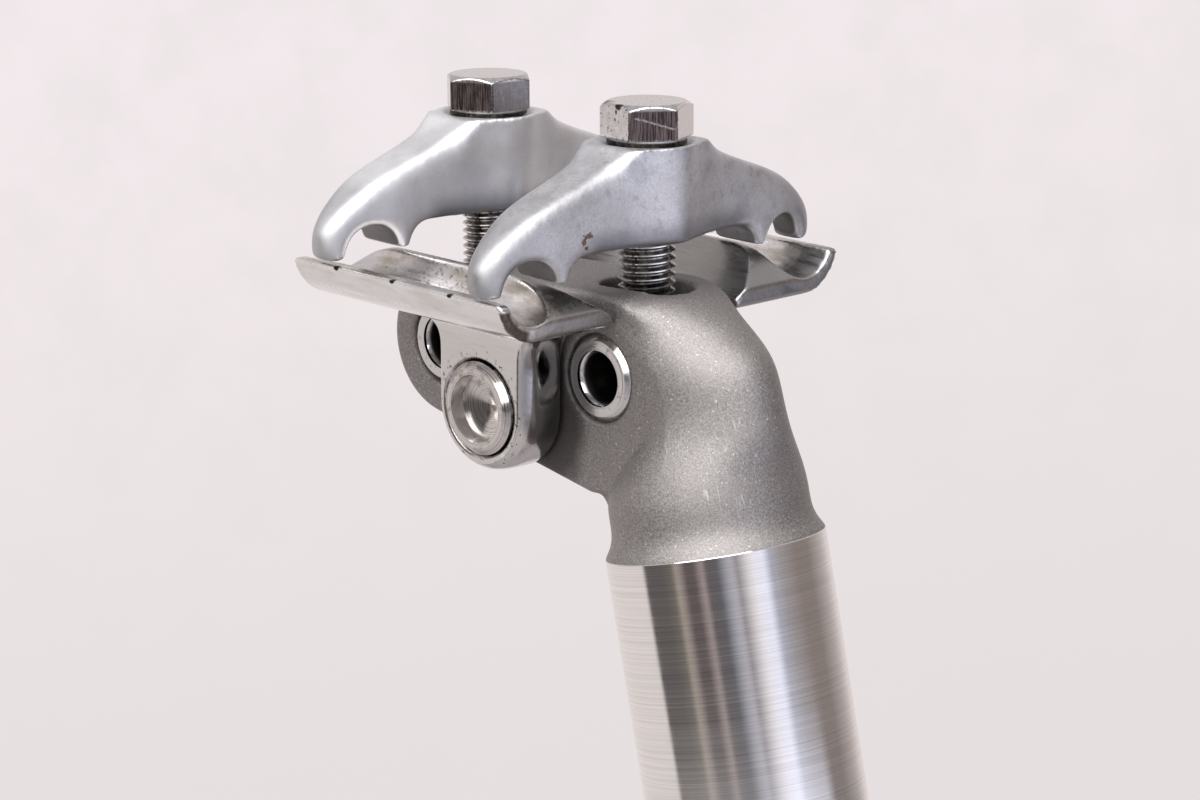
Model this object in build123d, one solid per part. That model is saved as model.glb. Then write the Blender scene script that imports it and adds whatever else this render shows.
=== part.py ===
from build123d import *
import os
from math import asin, atan2, cos, hypot, pi, radians, sin, sqrt, tan

# A two-bolt micro-adjust seatpost. The origin is the centre of the shaft's lower end, +Z runs up the shaft
# and +X points to the front of the bicycle. All sizes are in millimetres.

# Shaft: turned outside, bored from below
shaft_diameter = 27.2
shaft_length = 180.0
shaft_wall = 2.4
bore_end_metal = 6.0
bore_mouth_chamfer = 0.6

# Neck and head of the forging, heights taken above the top of the shaft
neck_diameter = 24.6
neck_height = 3.5
head_thickness = 16.7
nose_relief = 0.1
nose_reach = 3.6
shoulder_start = 5.5
shoulder_end = 17.5
nose_height = 1.2
crown_bend = 5.0
crown_lean = 0.9
crown_spread = 0.1
crown_round = 2.6
top_lean = 11.0
head_wall = 4.1
head_edge_round = 1.0
underside_start_back = 12.0
underside_start_height = 7.9
underside_blend = 5.0

# Pivot axle: its place on the head, and its own sizes
pivot_back = 22.0
pivot_height = 20.3
axle_diameter = 11.8
axle_clearance = 0.05
axle_proud = 0.8
axle_chamfer = 0.7
recess_diameter = 8.6
recess_depth = 2.0
drill_point_depth = 1.2

# How far the line of the nuts, and the rails at rest, point nose-down from square to the shaft
head_lean = 13.0
saddle_angle = 14.0

# Barrel nuts, set along the rails about the pivot
nut_spacing = 28.4
nut_rise = 5.0
nut_diameter = 11.0
nut_hole_diameter = 7.0
nut_clearance = 0.06
nut_proud = 0.1
nut_chamfer = 0.8

# Bolts with a fine thread
bolt_diameter = 7.0
thread_clearance = 0.05
bolt_end_past_nut = 1.2
bolt_end_chamfer = 0.6
hex_across_flats = 10.0
hex_height = 4.3
hex_top_diameter = 9.5
hex_chamfer_angle = 30.0
front_hex_turn = -6.0
rear_hex_turn = 22.5

# Slots in the head for the bolts
slot_length = 13.0
slot_width = 8.2
slot_depth_below_nut = 11.0

# Saddle rails that the head grips
rail_diameter = 7.0
rail_spacing = 43.0
rail_clearance = 0.05
rail_height = 18.4

# Lower cradles, one forging used on both sides
cradle_long_end = 20.8
cradle_short_end = 17.2
cradle_bottom_wall = 2.6
trough_radius = 6.4
trough_inset = 0.6
outer_rim_drop = 0.9
cradle_end_round = 0.8
channel_flare = 0.95
channel_flare_rise = 0.5
channel_flare_run = 7.0
inner_rim_width = 1.5
inner_rim_end_run = 9.0
inner_rim_end_drop = 3.8
ear_gap = 0.45
ear_thickness = 6.2
ear_radius = 8.2
ear_flare_round = 6.0
ear_edge_round = 1.3
ear_bore_chamfer = 0.4
web_blend_round = 3.6
web_foot_drop = 4.8

# Upper clamps
clamp_gap = 0.3
clamp_top_rise = 15.1
clamp_boss_radius = 6.6
clamp_underside_rise = 3.2
clamp_hook_wall = 3.35
clamp_arm_depth = 8.0
clamp_tip_depth = 5.6
clamp_tip_height = 3.4
clamp_shoulder_rise = 8.6
clamp_lobe_width = 1.9
clamp_edge_round = 1.3
clamp_lower_round = 0.9
clamp_hole_clearance = 0.45
clamp_hole_extra_length = 2.0

# Domed washers in the dished tops of the clamps
washer_radius = 4.9
washer_height = 1.5
washer_dome_radius = 9.0
washer_bore_clearance = 0.3
dish_clearance = 0.35
washer_sunk = 1.0

# Sizes that follow from the ones above
shaft_radius = shaft_diameter / 2
neck_radius = neck_diameter / 2
half_head = head_thickness / 2
nose_radius = half_head + nose_relief
crown_start = shoulder_end + nose_height
axle_radius = axle_diameter / 2
nut_radius = nut_diameter / 2
nut_half_length = half_head + nut_proud
bolt_radius = bolt_diameter / 2
rail_side = rail_spacing / 2
rail_bore_radius = rail_diameter / 2 + rail_clearance
clamp_half_width = rail_side + rail_bore_radius + clamp_hook_wall
rear_round = nut_radius + head_wall
ear_inside = half_head + ear_gap
ear_outside = ear_inside + ear_thickness
nut_reach = nut_spacing / 2
clamp_top = rail_height + clamp_top_rise
clamp_underside = rail_height + clamp_underside_rise
washer_top = clamp_top - washer_sunk + washer_height
hex_corner_radius = hex_across_flats / sqrt(3)
hex_top_radius = hex_top_diameter / 2
hex_chamfer_slope = radians(hex_chamfer_angle)

# Two frames on the pivot: X forward and Z square to the line of the nuts, or to the rails
pivot_place = Pos(-pivot_back, 0, shaft_length + pivot_height)
head_place = pivot_place * Rot(0, head_lean, 0)
saddle_place = pivot_place * Rot(0, saddle_angle, 0)
tilt = radians(head_lean)
top_tilt = radians(top_lean)

# Each bolt stands square to the line of the nuts, and its domed washer and the clamp's dish share a centre
dish_centre = clamp_top - washer_sunk + sqrt(washer_dome_radius ** 2 - bolt_radius ** 2)
bolt_lean = radians(saddle_angle - head_lean)
seat_below_centre = dish_centre - washer_top


def seat_above_nut(reach):
    """Height of the bolt head's seat above the nut at the given place on the line of the nuts."""
    return (dish_centre - reach * sin(bolt_lean)) / cos(bolt_lean) - nut_rise - seat_below_centre


def clamp_reach(reach):
    """Place of a clamp along the rails, above the nut at the given place."""
    return (reach - dish_centre * sin(bolt_lean)) / cos(bolt_lean)


def head_to_side(forward, up):
    """Side-view point (x, z) of a place given in the frame of the nuts."""
    x = -pivot_back + forward * cos(tilt) + up * sin(tilt)
    z = shaft_length + pivot_height - forward * sin(tilt) + up * cos(tilt)
    return (x, z)


def side_prism(wire, half_width):
    """Solid between two side planes with a closed side-view outline."""
    return extrude(make_face(wire), amount=half_width, both=True)


def cross_pin(radius, half_length, forward, up):
    """Cylinder across the bicycle at a place in the saddle frame."""
    return Pos(forward, 0, up) * Rot(90, 0, 0) * Cylinder(radius, 2 * half_length)


def head_underside():
    """Straight underside of the head, side view: its start, its end on the rear round and its heading."""
    rear_x, rear_z = head_to_side(-nut_reach, nut_rise)
    start_x = -underside_start_back
    start_z = shaft_length + underside_start_height
    run = hypot(rear_x - start_x, rear_z - start_z)
    heading = atan2(rear_z - start_z, rear_x - start_x) + asin(rear_round / run)
    length = sqrt(run ** 2 - rear_round ** 2)
    return (start_x, start_z), (start_x + length * cos(heading), start_z + length * sin(heading)), heading


def make_underside_blend():
    """Hollow-cornered gusset where the head's underside runs out of the round neck."""
    (start_x, start_z), _, heading = head_underside()
    slope = -tan(heading)
    rise = underside_blend * -cos(heading)
    spread = underside_blend * (1 - sin(heading))
    foot_z = start_z + (neck_radius + spread + start_x) * slope - rise
    corner = TangentArc((neck_radius, foot_z), (neck_radius + spread, foot_z + rise), tangent=(0, 1))
    rest = Polyline(
        (neck_radius + spread, foot_z + rise),
        (0, foot_z + rise),
        (0, foot_z),
        (neck_radius, foot_z),
    )
    flare = revolve(make_face(Plane.XZ * (corner + rest)), Axis.Z)
    width = 2 * (half_head - head_edge_round)
    return flare & Pos(-shaft_diameter, 0, start_z) * Box(2 * shaft_diameter, width, shaft_diameter)


def top_height(x):
    """Height of the head's flat sloping top, which runs off the rear round."""
    rear_x, rear_z = head_to_side(-nut_reach, nut_rise)
    return rear_z + (rear_round - (x - rear_x) * sin(top_tilt)) / cos(top_tilt)


def crown_axis(height):
    """Place forward of the crown's middle at a height above the shaft: upright, then leaning back."""
    rise = max(height - crown_start, 0)
    if rise < crown_bend:
        return nose_reach - crown_lean * rise * rise / (2 * crown_bend)
    return nose_reach - crown_lean * (rise - crown_bend / 2)


def crown_peak():
    """Side-view point (x, z) where the crown's middle reaches the flat top, and the knee it leans back from."""
    knee_z = shaft_length + crown_start + crown_bend / 2
    rise = (top_height(nose_reach) - knee_z) / (1 - crown_lean * tan(top_tilt))
    return (nose_reach - crown_lean * rise, knee_z + rise), (nose_reach, knee_z)


def make_head_blade():
    """Flat-sided plate of the head, round about the rear nut and running into the crown."""
    rear_x, rear_z = head_to_side(-nut_reach, nut_rise)
    (start_x, start_z), underside_end, heading = head_underside()
    top_rear = (rear_x + rear_round * sin(top_tilt), rear_z + rear_round * cos(top_tilt))
    lower_angle = heading + pi / 2
    upper_angle = pi / 2 - top_tilt
    middle_angle = (lower_angle + upper_angle) / 2
    rear_end = (rear_x + rear_round * cos(middle_angle), rear_z + rear_round * sin(middle_angle))
    peak, knee = crown_peak()
    underside = Line((start_x, start_z), underside_end)
    rear = ThreePointArc(underside_end, rear_end, top_rear)
    front = Polyline(
        top_rear,
        peak,
        knee,
        (nose_reach, start_z),
        (start_x, start_z),
    )
    blade = side_prism(Plane.XZ * (underside + rear + front), half_head)
    flats = blade.faces().filter_by(Axis.Y)
    rims = [edge for face in flats for edge in face.edges() if edge.center().X < peak[0]]
    return fillet(rims, head_edge_round)


def make_crown():
    """Round top of the nose: leans back into the blade, keeps its flat sides and eases over into its flat top."""
    (_, peak_z), _ = crown_peak()
    peak = peak_z - shaft_length
    body_count = 7
    round_count = 4
    body = peak - crown_round - crown_start
    heights = [crown_start + body * step / (body_count - 1) for step in range(body_count)]
    heights += [peak - crown_round * (1 - sin(step * pi / 2 / round_count)) for step in range(1, round_count + 1)]
    sections = []
    for height in heights:
        rise = height - crown_start
        lean = top_lean * rise / (peak - crown_start)
        over = max(crown_round - (peak - height), 0)
        eased = crown_round - sqrt(crown_round ** 2 - over ** 2)
        level = Pos(crown_axis(height), 0, shaft_length + height) * Rot(0, lean, 0) * Rot(0, 0, 180)
        sections.append(level * Circle(nose_radius + crown_spread * rise - eased))
    reach = 2 * shaft_diameter
    sides = Box(2 * reach, 2 * half_head, reach)
    sides = fillet(sides.edges().filter_by(Axis.X).group_by(Axis.Z)[-1], head_edge_round)
    return loft(sections) & Pos(0, 0, top_height(0)) * Rot(0, top_lean, 0) * Pos(0, 0, -reach / 2) * sides


def make_column():
    """Round neck that narrows upwards into the nose of the head."""
    neck_foot = (neck_radius, shaft_length + neck_height)
    waist = TangentArc(neck_foot, (shaft_radius, shaft_length), tangent=(0, -1))
    foot = Polyline(
        (shaft_radius, shaft_length),
        (0, shaft_length),
        (0, shaft_length + shoulder_start),
        (neck_radius, shaft_length + shoulder_start),
        (neck_radius, shaft_length + neck_height),
    )
    column = revolve(make_face(Plane.XZ * (waist + foot)), Axis.Z)
    sections = []
    section_count = 7
    for step in range(section_count):
        share = step / (section_count - 1)
        blend = share * share * (3 - 2 * share)
        radius = neck_radius + (nose_radius - neck_radius) * blend
        height = shaft_length + shoulder_start + (shoulder_end - shoulder_start) * share
        sections.append(Pos(nose_reach * blend, 0, height) * Circle(radius))
    column += loft(sections)
    nose_middle = shaft_length + shoulder_end + nose_height / 2
    return column + Pos(nose_reach, 0, nose_middle) * Cylinder(nose_radius, nose_height)


def make_post():
    """The forging: shaft, neck and head, with its bores and slots."""
    shaft = Pos(0, 0, shaft_length / 2) * Cylinder(shaft_radius, shaft_length)
    post = shaft + make_column() + make_crown() + make_head_blade() + make_underside_blend()
    bore_radius = shaft_radius - shaft_wall
    bore_length = shaft_length - bore_end_metal
    bore = Pos(0, 0, bore_length / 2) * Cylinder(bore_radius, bore_length)
    bore = fillet(bore.edges().group_by(Axis.Z)[-1], bore_radius / 2)
    mouth = Cone(bore_radius + bore_mouth_chamfer, bore_radius, bore_mouth_chamfer)
    post -= bore + Pos(0, 0, bore_mouth_chamfer / 2) * mouth
    through = 2 * half_head
    post -= head_place * cross_pin(axle_radius + axle_clearance, through, 0, 0)
    for reach in (nut_reach, -nut_reach):
        post -= head_place * cross_pin(nut_radius + nut_clearance, through, reach, nut_rise)
    slot_top = nut_rise + 2 * rear_round
    front_bottom = nut_rise - slot_depth_below_nut
    rear_bottom = nut_rise - 2 * rear_round
    for reach, bottom in ((nut_reach, front_bottom), (-nut_reach, rear_bottom)):
        outline = Pos(reach, 0, bottom) * SlotOverall(slot_length, slot_width)
        post -= head_place * extrude(outline, amount=slot_top - bottom)
    return post


def make_axle():
    """Turned pivot pin, drilled at each end."""
    half_length = ear_outside + axle_proud
    axle = Rot(90, 0, 0) * Cylinder(axle_radius, 2 * half_length)
    axle = chamfer(axle.edges().filter_by(GeomType.CIRCLE), axle_chamfer)
    recess_radius = recess_diameter / 2
    recess = Pos(0, 0, recess_depth / 2) * Cylinder(recess_radius, recess_depth)
    point = Pos(0, 0, -drill_point_depth / 2) * Cone(0, recess_radius, drill_point_depth)
    drilled = Pos(0, 0, half_length - recess_depth) * (recess + point)
    for turn in (90, -90):
        axle -= Rot(turn, 0, 0) * drilled
    return saddle_place * axle


def cradle_end(end, rim, rim_run, rim_drop):
    """Half of a cradle's side view, from the middle of its rim round the given end to the foot of the ear."""
    bottom = rail_height - rail_bore_radius - cradle_bottom_wall
    flare_end = ear_radius + ear_flare_round
    return (
        Line((0, rim), (end - rim_run, rim))
        + Spline((end - rim_run, rim), (end, rim - rim_drop), tangents=[(1, 0), (1, -2 * rim_drop / rim_run)])
        + Line((end, rim - rim_drop), (end, bottom + cradle_end_round))
        + TangentArc((end, bottom + cradle_end_round), (end - cradle_end_round, bottom), tangent=(0, -1))
        + Line((end - cradle_end_round, bottom), (flare_end, bottom))
        + ear_flank()
    )


def ear_flank():
    """Half of the ear's side view, from the flare under the trough to the foot."""
    bottom = rail_height - rail_bore_radius - cradle_bottom_wall
    flare_end = ear_radius + ear_flare_round
    return (
        TangentArc((flare_end, bottom), (ear_radius, bottom - ear_flare_round), tangent=(-1, 0))
        + Line((ear_radius, bottom - ear_flare_round), (ear_radius, 0))
        + TangentArc((ear_radius, 0), (0, -ear_radius), tangent=(0, -1))
    )


def cradle_side(rim, rim_run, rim_drop):
    """Prism with a cradle's whole side view, wider than the cradle."""
    front = cradle_end(cradle_long_end, rim, rim_run, rim_drop)
    rear = mirror(cradle_end(cradle_short_end, rim, rim_run, rim_drop), about=Plane.YZ)
    return side_prism(Plane.XZ * (front + rear), 2 * rail_spacing)


def make_cradle():
    """Left-hand cradle: trough for the rail, slanting web and ear on the axle."""
    bottom = rail_height - rail_bore_radius - cradle_bottom_wall
    outer_rim = rail_height - outer_rim_drop
    trough_side = rail_side - trough_inset
    rim_inside = rail_side - rail_bore_radius - inner_rim_width
    web_foot = rail_height - web_foot_drop
    blend_start = bottom - web_blend_round
    reach = 2 * cradle_long_end

    # Outer half of the trough, below its rim
    tall = 2 * trough_radius
    outer_half = Pos(trough_side, bottom + trough_radius) * Circle(trough_radius)
    outer_half &= Pos(trough_side + trough_radius, outer_rim - tall / 2) * Rectangle(tall, tall)
    outer = extrude(Plane.YZ * outer_half, amount=reach, both=True)
    outer &= cradle_side(outer_rim, cradle_end_round, cradle_end_round / 2)

    # Inner half of the trough and the web that slants down to the ear
    web_edge = (
        Polyline(
            (trough_side, bottom),
            (trough_side, rail_height),
            (rim_inside, rail_height),
            (ear_inside, web_foot),
            (ear_inside, blend_start),
            (ear_outside, blend_start),
        )
        + TangentArc((ear_outside, blend_start), (ear_outside + web_blend_round, bottom), tangent=(0, 1))
        + Line((ear_outside + web_blend_round, bottom), (trough_side, bottom))
    )
    web = extrude(Plane.YZ * make_face(web_edge), amount=reach, both=True)
    web &= cradle_side(rail_height, inner_rim_end_run, inner_rim_end_drop)

    # Ear on the axle, its outer edge rounded
    flank = ear_flank()
    ear_top = Line((-ear_radius - ear_flare_round, bottom), (ear_radius + ear_flare_round, bottom))
    ear_face = make_face(Plane.XZ * (ear_top + flank + mirror(flank, about=Plane.YZ)))
    ear = Pos(0, ear_inside, 0) * extrude(ear_face, amount=ear_thickness, dir=(0, 1, 0))
    lower_rim = [edge for edge in ear.faces().sort_by(Axis.Y)[-1].edges() if edge.center().Z < blend_start]
    ear = fillet(lower_rim, ear_edge_round)
    cradle = outer + web + ear

    # Channel for the rail, flared at both ends
    cradle -= Pos(0, rail_side, rail_height) * Rot(0, 90, 0) * Cylinder(rail_bore_radius, 2 * reach)
    for end in (cradle_long_end, -cradle_short_end):
        start = end - channel_flare_run if end > 0 else end + channel_flare_run
        throat = Plane.YZ.offset(start) * Pos(rail_side, rail_height) * Circle(rail_bore_radius)
        mouth_radius = rail_bore_radius + channel_flare
        mouth = Plane.YZ.offset(end) * Pos(rail_side, rail_height + channel_flare_rise) * Circle(mouth_radius)
        cradle -= loft([throat, mouth])

    bore_radius = axle_radius + axle_clearance
    cradle -= cross_pin(bore_radius, 2 * ear_outside, 0, 0)
    bore_mouth = Cone(bore_radius, bore_radius + ear_bore_chamfer, ear_bore_chamfer)
    return cradle - Pos(0, ear_outside - ear_bore_chamfer / 2, 0) * Rot(-90, 0, 0) * bore_mouth


def side_edges(solid):
    """Curved edges along the front and back of a clamp."""
    return [edge for edge in solid.edges() if edge.geom_type == GeomType.BSPLINE and abs(edge.center().X) > 1]


def make_clamp():
    """Upper yoke at the pivot's own place along the rails: boss, arms, hooks and notches."""
    outer_tip = rail_height - outer_rim_drop + clamp_gap
    inner_tip = rail_height + clamp_gap
    notch_inside = rail_side - rail_bore_radius
    shoulder = rail_height + clamp_shoulder_rise
    boss_radius = clamp_boss_radius
    lobe = notch_inside - clamp_lobe_width
    arm_slope = (shoulder - clamp_top) / (rail_side - boss_radius)
    fall = 2 * boss_radius / 3
    past_tip = clamp_half_width + clamp_hook_wall / 2
    top_edge = Spline(
        (boss_radius, clamp_top),
        (boss_radius + fall / 2, clamp_top - fall / 3),
        (rail_side, shoulder),
        (clamp_half_width, outer_tip + clamp_tip_height),
        (past_tip, outer_tip),
        tangents=[(1, 2 * arm_slope), (1, -clamp_tip_height / clamp_hook_wall * 3)],
    )
    half_profile = (
        Polyline((0, clamp_underside), (0, clamp_top), (boss_radius, clamp_top))
        + top_edge
        + Polyline(
            (past_tip, outer_tip),
            (rail_side, outer_tip),
            (rail_side, inner_tip),
            (lobe, inner_tip),
        )
        + TangentArc((lobe, inner_tip), (lobe - clamp_underside + inner_tip, clamp_underside), tangent=(0, 1))
        + Line((lobe - clamp_underside + inner_tip, clamp_underside), (0, clamp_underside))
    )
    half_front = extrude(Plane.YZ * make_face(half_profile), amount=2 * boss_radius, both=True)
    corner = Polyline(
        (clamp_half_width - clamp_lower_round, outer_tip),
        (past_tip, outer_tip),
        (past_tip, outer_tip + past_tip - clamp_half_width + clamp_lower_round),
        close=True,
    )
    half_front -= extrude(Plane.YZ * make_face(corner), amount=2 * boss_radius, both=True)

    # Plan view: round boss, waisted arms and rounded tips
    half_arm = clamp_arm_depth / 2
    half_tip = clamp_tip_depth / 2
    plan_side = Spline(
        (0, boss_radius),
        (boss_radius / 2, boss_radius * sin(pi / 3)),
        (rail_side - rail_bore_radius, half_arm),
        (clamp_half_width - half_tip, half_tip),
        tangents=[(1, 0), (1, (half_tip - half_arm) / half_arm)],
    )
    plan_end = Spline(
        (clamp_half_width - half_tip, half_tip),
        (clamp_half_width, 0),
        tangents=[(1, (half_tip - half_arm) / half_arm), (0, -1)],
    )
    half_plan = plan_side + plan_end
    half_plan += mirror(half_plan, about=Plane.XZ)
    half_plan += Line((0, boss_radius), (0, -boss_radius))
    standing = extrude(Rot(0, 0, 90) * mirror(make_face(half_plan), about=Plane.XZ), amount=2 * clamp_top)
    half_clamp = half_front & standing
    clamp = half_clamp + mirror(half_clamp, about=Plane.XZ)
    for side in (rail_side, -rail_side):
        clamp -= Pos(0, side, rail_height) * Rot(0, 90, 0) * Cylinder(rail_bore_radius, 4 * boss_radius)

    # Forged edges eased: along the arms and tips, under the arms and round the notches
    arms = [edge for edge in side_edges(clamp) if edge.length > rail_side]
    clamp = fillet(arms, clamp_edge_round)
    below = [edge for edge in side_edges(clamp) if edge.center().Z < clamp_underside + clamp_gap]
    below = [edge for edge in below if abs(edge.center().Y) < lobe]
    clamp = fillet(below, clamp_lower_round)
    notch_top = clamp_underside + rail_bore_radius / 2
    low_edges = [edge for edge in side_edges(clamp) if edge.center().Z < notch_top]
    notches = [edge for edge in low_edges if abs(abs(edge.center().Y) - rail_side) < clamp_lobe_width / 2]
    clamp = fillet(notches, clamp_lower_round)

    # Bolt hole and dish for the washer
    hole_width = bolt_diameter + 2 * clamp_hole_clearance
    hole = SlotOverall(hole_width + clamp_hole_extra_length, hole_width)
    clamp -= extrude(hole, amount=2 * clamp_top)
    return clamp - Pos(0, 0, dish_centre) * Sphere(washer_dome_radius + dish_clearance)


def make_washer(seat):
    """Domed washer: flat top for the bolt head, spherical underside in the clamp's dish."""
    blank = Pos(0, 0, seat - washer_height / 2) * Cylinder(washer_radius, washer_height)
    blank &= Pos(0, 0, seat + seat_below_centre) * Sphere(washer_dome_radius)
    return blank - Pos(0, 0, seat) * Cylinder(bolt_radius + washer_bore_clearance, 4 * washer_height)


def make_bolt(seat, turn):
    """Hex-headed bolt, its thread left as a plain shank of the same diameter."""
    end = -nut_radius - bolt_end_past_nut
    shank = Pos(0, 0, (seat + end) / 2) * Cylinder(bolt_radius, seat - end)
    shank = chamfer(shank.edges().group_by(Axis.Z)[0], bolt_end_chamfer)
    hexagon = extrude(Rot(0, 0, turn) * RegularPolygon(hex_corner_radius, 6), amount=hex_height)
    cone_radius = 2 * hex_corner_radius
    facing = Polyline(
        (0, 0),
        (cone_radius, 0),
        (cone_radius, hex_height - (cone_radius - hex_top_radius) * tan(hex_chamfer_slope)),
        (hex_top_radius, hex_height),
        (0, hex_height),
        close=True,
    )
    hexagon &= revolve(make_face(Plane.XZ * facing), Axis.Z)
    return shank + Pos(0, 0, seat) * hexagon


def make_nut():
    """Barrel nut: tube across the head, with the bolt's thread through its middle."""
    nut = cross_pin(nut_radius, nut_half_length, 0, 0)
    nut = chamfer(nut.edges().filter_by(GeomType.CIRCLE), nut_chamfer)
    nut -= cross_pin(nut_hole_diameter / 2, 2 * nut_half_length, 0, 0)
    return nut - Cylinder(bolt_radius + thread_clearance, 4 * nut_radius)


os.makedirs("parts", exist_ok=True)
parts = {"post": make_post(), "pivot_axle": make_axle()}
cradle = make_cradle()
parts["left_cradle"] = saddle_place * cradle
parts["right_cradle"] = saddle_place * Rot(0, 0, 180) * cradle
clamp = make_clamp()
nut = make_nut()
for name, reach, turn in (("front", nut_reach, front_hex_turn), ("rear", -nut_reach, rear_hex_turn)):
    nut_place = head_place * Pos(reach, 0, nut_rise)
    seat = seat_above_nut(reach)
    parts[name + "_clamp"] = saddle_place * Pos(clamp_reach(reach), 0, 0) * clamp
    parts[name + "_washer"] = nut_place * make_washer(seat)
    parts[name + "_bolt"] = nut_place * make_bolt(seat, turn)
    parts[name + "_barrel_nut"] = nut_place * nut
for name, solid in parts.items():
    export_step(solid, "parts/" + name + ".step")
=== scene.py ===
import math

import bmesh
import bpy
from mathutils import Matrix, Vector


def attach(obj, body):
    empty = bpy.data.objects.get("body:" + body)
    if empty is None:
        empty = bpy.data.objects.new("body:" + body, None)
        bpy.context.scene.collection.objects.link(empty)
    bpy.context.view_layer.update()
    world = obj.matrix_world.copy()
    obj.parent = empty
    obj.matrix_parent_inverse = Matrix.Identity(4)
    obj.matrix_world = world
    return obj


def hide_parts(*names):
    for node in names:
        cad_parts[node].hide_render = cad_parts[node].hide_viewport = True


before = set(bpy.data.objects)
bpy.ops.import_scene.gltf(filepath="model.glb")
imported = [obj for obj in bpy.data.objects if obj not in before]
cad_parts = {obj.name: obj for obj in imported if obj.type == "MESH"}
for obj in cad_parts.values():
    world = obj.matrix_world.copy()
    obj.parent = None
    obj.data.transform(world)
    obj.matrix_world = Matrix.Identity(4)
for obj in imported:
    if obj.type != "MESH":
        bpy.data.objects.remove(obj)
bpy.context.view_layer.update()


# Post: one aluminium forging. The head is sand-blasted and keeps a matt grey grain, and the shaft below it
# is turned to 27.2 mm, which leaves a bright finish with fine rings round it. Both are one piece of metal.
MM = 0.001
UP = (0, 0, 1)
RING_HEIGHT = 180 * MM
SHAFT_RADIUS = 13.6 * MM
BORE_RADIUS = 11.2 * MM
BORE_END = 174 * MM
JOIN_DISTANCE = 0.0005 * MM
GRAIN_DARK = (0.225, 0.208, 0.202, 1)
GRAIN_PALE = (0.385, 0.366, 0.36, 1)
GRAIN_CLOUD = (0.30, 0.275, 0.262, 1)
GRAIN_GLINT = (0.95, 0.92, 0.9, 1)
EAR_SHADE_ON_HEAD = (0.06, 0.055, 0.053, 1)
NOSE_SCRATCH = (0.95, 0.93, 0.92, 1)
TURNED_DARK = (0.70, 0.685, 0.675, 1)
TURNED_PALE = (0.88, 0.865, 0.855, 1)
SHAFT_SCRATCH = (0.95, 0.94, 0.93, 1)


def merged_mesh(node):
    """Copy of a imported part's mesh with its loose triangles joined."""
    bm = bmesh.new()
    bm.from_mesh(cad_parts[node].data)
    bmesh.ops.remove_doubles(bm, verts=bm.verts, dist=JOIN_DISTANCE)
    return bm


def cut_above(bm, point, normal):
    """Keep what lies on the side that the normal points to, and close the cut."""
    geometry = bm.verts[:] + bm.edges[:] + bm.faces[:]
    bmesh.ops.bisect_plane(
        bm, geom=geometry, plane_co=point, plane_no=normal, clear_inner=True, dist=1e-7)
    open_edges = [edge for edge in bm.edges if edge.is_boundary]
    bmesh.ops.holes_fill(bm, edges=open_edges, sides=0)


def new_piece(name, bm, material):
    """Object at the origin made from a bmesh, shaded smooth."""
    mesh = bpy.data.meshes.new(name)
    bm.to_mesh(mesh)
    bm.free()
    piece = bpy.data.objects.new(name, mesh)
    bpy.context.scene.collection.objects.link(piece)
    mesh.materials.append(material)
    mesh.shade_smooth()
    return piece


def smooth(bm, verts, rounds):
    """Move vertices half the way to the middle of their neighbours, a number of times."""
    for step in range(rounds):
        bmesh.ops.smooth_vert(
            bm, verts=verts, factor=0.5, use_axis_x=True, use_axis_y=True, use_axis_z=True)


def forged_skin(bm, voxel, rounds):
    """Even skin over a solid, its edges eased as forging and finishing leave them."""
    rough = bpy.data.meshes.new("rough")
    bm.to_mesh(rough)
    bm.free()
    holder = bpy.data.objects.new("rough", rough)
    bpy.context.scene.collection.objects.link(holder)
    remesh = holder.modifiers.new("skin", "REMESH")
    remesh.mode = "VOXEL"
    remesh.voxel_size = voxel
    remesh.adaptivity = 0.0
    evaluated = holder.evaluated_get(bpy.context.evaluated_depsgraph_get())
    skin = bmesh.new()
    skin.from_mesh(evaluated.to_mesh())
    evaluated.to_mesh_clear()
    bpy.data.objects.remove(holder)
    bpy.data.meshes.remove(rough)
    smooth(skin, skin.verts, rounds)
    return skin


def step_between(value, low, high):
    """Smooth step of a plain number, 0 at the first limit and 1 at the second."""
    share = min(max((value - low) / (high - low), 0.0), 1.0)
    return share * share * (3 - 2 * share)


def ease(bm, shares, rounds):
    """Smooth a mesh fully where its share is 1, less where it is smaller, and not at all where it is 0."""
    levels = 8
    for level in range(levels):
        chosen = [vert for vert, share in shares.items() if share > level / levels]
        smooth(bm, chosen, rounds)


def spin_line(bm, points, centre, axis, steps):
    """Spin a line of points all the way round an axis, and give back the line's own vertices."""
    verts = [bm.verts.new(point) for point in points]
    edges = [bm.edges.new(pair) for pair in zip(verts, verts[1:])]
    bmesh.ops.spin(
        bm, geom=verts + edges, cent=centre, axis=axis, angle=math.tau, steps=steps, use_merge=True)
    return verts


def add_node(tree, kind, inputs=None, **settings):
    """Shader node with its settings, and with its sockets set or linked."""
    node = tree.nodes.new(kind)
    for key, value in settings.items():
        setattr(node, key, value)
    for key, value in (inputs or {}).items():
        if isinstance(value, bpy.types.NodeSocket):
            tree.links.new(value, node.inputs[key])
        else:
            node.inputs[key].default_value = value
    return node


def new_metal(name):
    """Material with a metal shader: its tree, the shader and the object's coordinates."""
    material = bpy.data.materials.new(name)
    material.use_nodes = True
    tree = material.node_tree
    shader = tree.nodes["Principled BSDF"]
    shader.inputs["Metallic"].default_value = 1.0
    place = add_node(tree, "ShaderNodeTexCoord").outputs["Object"]
    return material, tree, shader, place


def link_finish(tree, shader, tone, shine):
    """Link a colour and a roughness to a shader."""
    tree.links.new(tone, shader.inputs["Base Color"])
    tree.links.new(shine, shader.inputs["Roughness"])


def add_bump(tree, shader, height, strength, distance):
    """Bump on a shader from a height between 0 and 1."""
    inputs = {"Height": height, "Strength": strength, "Distance": distance}
    bump = add_node(tree, "ShaderNodeBump", inputs)
    tree.links.new(bump.outputs[0], shader.inputs["Normal"])


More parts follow.
